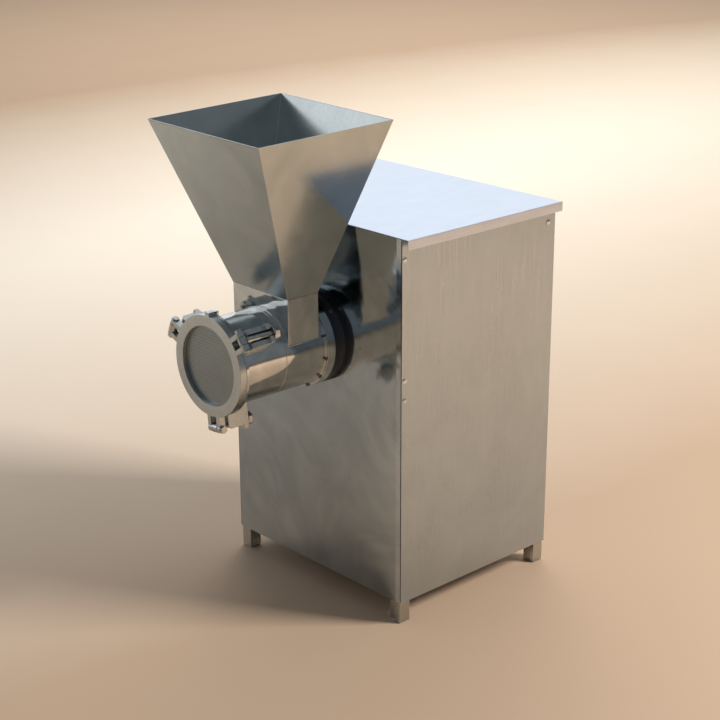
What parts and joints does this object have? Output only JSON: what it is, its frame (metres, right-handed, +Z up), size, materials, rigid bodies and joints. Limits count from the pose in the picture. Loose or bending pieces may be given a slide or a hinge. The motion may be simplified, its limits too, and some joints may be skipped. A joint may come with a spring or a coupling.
{
  "type": "hammer mill",
  "caption": "Screw-fed hammer mill on a sheet-steel cabinet: square hopper, polished barrel, and a round front screen held by swing-bolt clamps.",
  "frame": {"origin": "centre of the whole footprint, midway between the clamp ring's face and the cable gland's end, at the level of the feet's undersides", "axes": "+Z up; the barrel and its discharge screen point along -Y, the front; +X is to the right seen from the front"},
  "size_m": [0.495, 0.6575, 0.9231],
  "materials": {
    "polished_steel": "mirror-polished stainless steel",
    "turned_steel": "turned stainless steel",
    "screen_steel": "satin perforated stainless steel",
    "mirror_sheet": "mirror-finish stainless sheet, slightly wavy",
    "satin_sheet": "satin stainless sheet",
    "lid_sheet": "pale satin stainless sheet",
    "hopper_sheet": "bright rolled stainless sheet",
    "frame_steel": "satin stainless square tube",
    "plate_steel": "mill-finish steel plate",
    "screw_steel": "bright zinc-plated screws",
    "bright_steel": "bright machined steel",
    "black_oxide": "black-oxide fasteners",
    "ground_steel": "ground steel",
    "food_steel": "welded stainless steel",
    "hammer_steel": "hardened steel",
    "black_rubber": "black rubber",
    "housing_paint": "painted cast iron",
    "motor_paint": "painted cast aluminium",
    "grey_iron": "machined cast iron",
    "belt_rubber": "rubber V-belt",
    "black_plastic": "moulded plastic",
    "red_plastic": "moulded rocker"
  },
  "bodies": {
    "root": {"corner_posts": "frame_steel", "foot_plates": "frame_steel", "frame_rails": "frame_steel", "bearing_beams": "frame_steel", "mounting_plate": "plate_steel", "motor_plate": "plate_steel", "front_panel": "mirror_sheet", "right_side_panel": "satin_sheet", "left_side_panel": "satin_sheet", "rear_panel": "satin_sheet", "floor_pan": "satin_sheet", "top_lid": "lid_sheet", "panel_screws": "screw_steel", "barrel_tube": "polished_steel", "barrel_front_flange": "polished_steel", "barrel_rear_flange": "polished_steel", "clamp_lugs": "turned_steel", "feed_neck": "polished_steel", "spacer_ring": "black_rubber", "flange_bolts": "black_oxide", "clamp_ring": "turned_steel", "screen_plate": "screen_steel", "clamp_pins": "bright_steel", "bearing_housings": "housing_paint", "bearing_outer_rings": "ground_steel", "bearing_bolts": "black_oxide", "shaft_seal": "black_rubber", "motor_body": "motor_paint", "motor_end_shields": "motor_paint", "motor_cowl": "motor_paint", "terminal_box": "motor_paint", "motor_bolts": "black_oxide", "drive_belts": "belt_rubber", "cable_gland": "black_plastic", "switch_body": "black_plastic"},
    "swing_bolt_1": {"swing_bolt_1": "bright_steel"},
    "clamp_washer_1": {"clamp_washer_1": "bright_steel"},
    "clamp_nut_1": {"clamp_nut_1": "bright_steel"},
    "swing_bolt_2": {"swing_bolt_2": "bright_steel"},
    "clamp_washer_2": {"clamp_washer_2": "bright_steel"},
    "clamp_nut_2": {"clamp_nut_2": "bright_steel"},
    "swing_bolt_3": {"swing_bolt_3": "bright_steel"},
    "clamp_washer_3": {"clamp_washer_3": "bright_steel"},
    "clamp_nut_3": {"clamp_nut_3": "bright_steel"},
    "rotor": {"main_shaft": "ground_steel", "feed_screw": "food_steel", "rotor_discs": "food_steel", "hammer_pins": "ground_steel", "rotor_locknut": "black_oxide", "main_pulley": "grey_iron", "bearing_inner_rings": "ground_steel"},
    "motor_rotor": {"motor_shaft": "ground_steel", "motor_fan": "black_plastic", "motor_pulley": "grey_iron"},
    "hammer_row_1": {"hammers_1": "hammer_steel"},
    "hammer_row_2": {"hammers_2": "hammer_steel"},
    "hammer_row_3": {"hammers_3": "hammer_steel"},
    "hammer_row_4": {"hammers_4": "hammer_steel"},
    "hopper": {"hopper": "hopper_sheet"},
    "switch_rocker": {"switch_rocker": "red_plastic"}
  },
  "joints": [
    {"name": "clamp_1_swing", "type": "hinge", "parent": "root", "child": "swing_bolt_1", "pos_m": [0.09223, -0.321, 0.57101], "axis": [0.5878, 0, -0.809], "range_deg": [0, 110]},
    {"name": "washer_1_slide", "type": "slide", "parent": "swing_bolt_1", "child": "clamp_washer_1", "axis": [0, 1, 0], "range_m": [0, 0.006]},
    {"name": "nut_1_turn", "type": "hinge", "parent": "clamp_washer_1", "child": "clamp_nut_1", "pos_m": [0.09223, -0.255, 0.57101], "axis": [0, 1, 0], "range_deg": [0, 1440]},
    {"name": "clamp_2_swing", "type": "hinge", "parent": "root", "child": "swing_bolt_2", "pos_m": [-0.10414, -0.321, 0.55037], "axis": [0.4067, 0, 0.9135], "range_deg": [0, 110]},
    {"name": "washer_2_slide", "type": "slide", "parent": "swing_bolt_2", "child": "clamp_washer_2", "axis": [0, 1, 0], "range_m": [0, 0.006]},
    {"name": "nut_2_turn", "type": "hinge", "parent": "clamp_washer_2", "child": "clamp_nut_2", "pos_m": [-0.10414, -0.255, 0.55037], "axis": [0, 1, 0], "range_deg": [0, 1440]},
    {"name": "clamp_3_swing", "type": "hinge", "parent": "root", "child": "swing_bolt_3", "pos_m": [0.01192, -0.321, 0.39062], "axis": [-0.9945, 0, -0.1045], "range_deg": [0, 110]},
    {"name": "washer_3_slide", "type": "slide", "parent": "swing_bolt_3", "child": "clamp_washer_3", "axis": [0, 1, 0], "range_m": [0, 0.006]},
    {"name": "nut_3_turn", "type": "hinge", "parent": "clamp_washer_3", "child": "clamp_nut_3", "pos_m": [0.01192, -0.255, 0.39062], "axis": [0, 1, 0], "range_deg": [0, 1440]},
    {"name": "rotor_spin", "type": "hinge", "parent": "root", "child": "rotor", "pos_m": [0, -0.187, 0.504], "axis": [0, 1, 0], "continuous": true},
    {"name": "motor_spin", "type": "hinge", "parent": "root", "child": "motor_rotor", "pos_m": [0, 0.163, 0.2255], "axis": [0, 1, 0], "continuous": true},
    {"name": "hammers_1_swing", "type": "hinge", "parent": "rotor", "child": "hammer_row_1", "pos_m": [0.02828, -0.267, 0.53228], "axis": [0, 1, 0], "range_deg": [-70, 70]},
    {"name": "hammers_2_swing", "type": "hinge", "parent": "rotor", "child": "hammer_row_2", "pos_m": [-0.02828, -0.267, 0.53228], "axis": [0, 1, 0], "range_deg": [-70, 70]},
    {"name": "hammers_3_swing", "type": "hinge", "parent": "rotor", "child": "hammer_row_3", "pos_m": [-0.02828, -0.267, 0.47572], "axis": [0, 1, 0], "range_deg": [-70, 70]},
    {"name": "hammers_4_swing", "type": "hinge", "parent": "rotor", "child": "hammer_row_4", "pos_m": [0.02828, -0.267, 0.47572], "axis": [0, 1, 0], "range_deg": [-70, 70]},
    {"name": "hopper_lift", "type": "slide", "parent": "root", "child": "hopper", "axis": [0, 0, 1], "range_m": [0, 0.15]},
    {"name": "switch_rock", "type": "hinge", "parent": "root", "child": "switch_rocker", "pos_m": [-0.2285, 0.006, 0.613], "axis": [0, 1, 0], "range_deg": [0, 20]}
  ],
  "couplings": [
    {"joint": "washer_1_slide", "follows": "nut_1_turn", "m_per_rad": 0.0002387},
    {"joint": "washer_2_slide", "follows": "nut_2_turn", "m_per_rad": 0.0002387},
    {"joint": "washer_3_slide", "follows": "nut_3_turn", "m_per_rad": 0.0002387},
    {"joint": "motor_spin", "follows": "rotor_spin", "ratio": 0.78688}
  ]
}
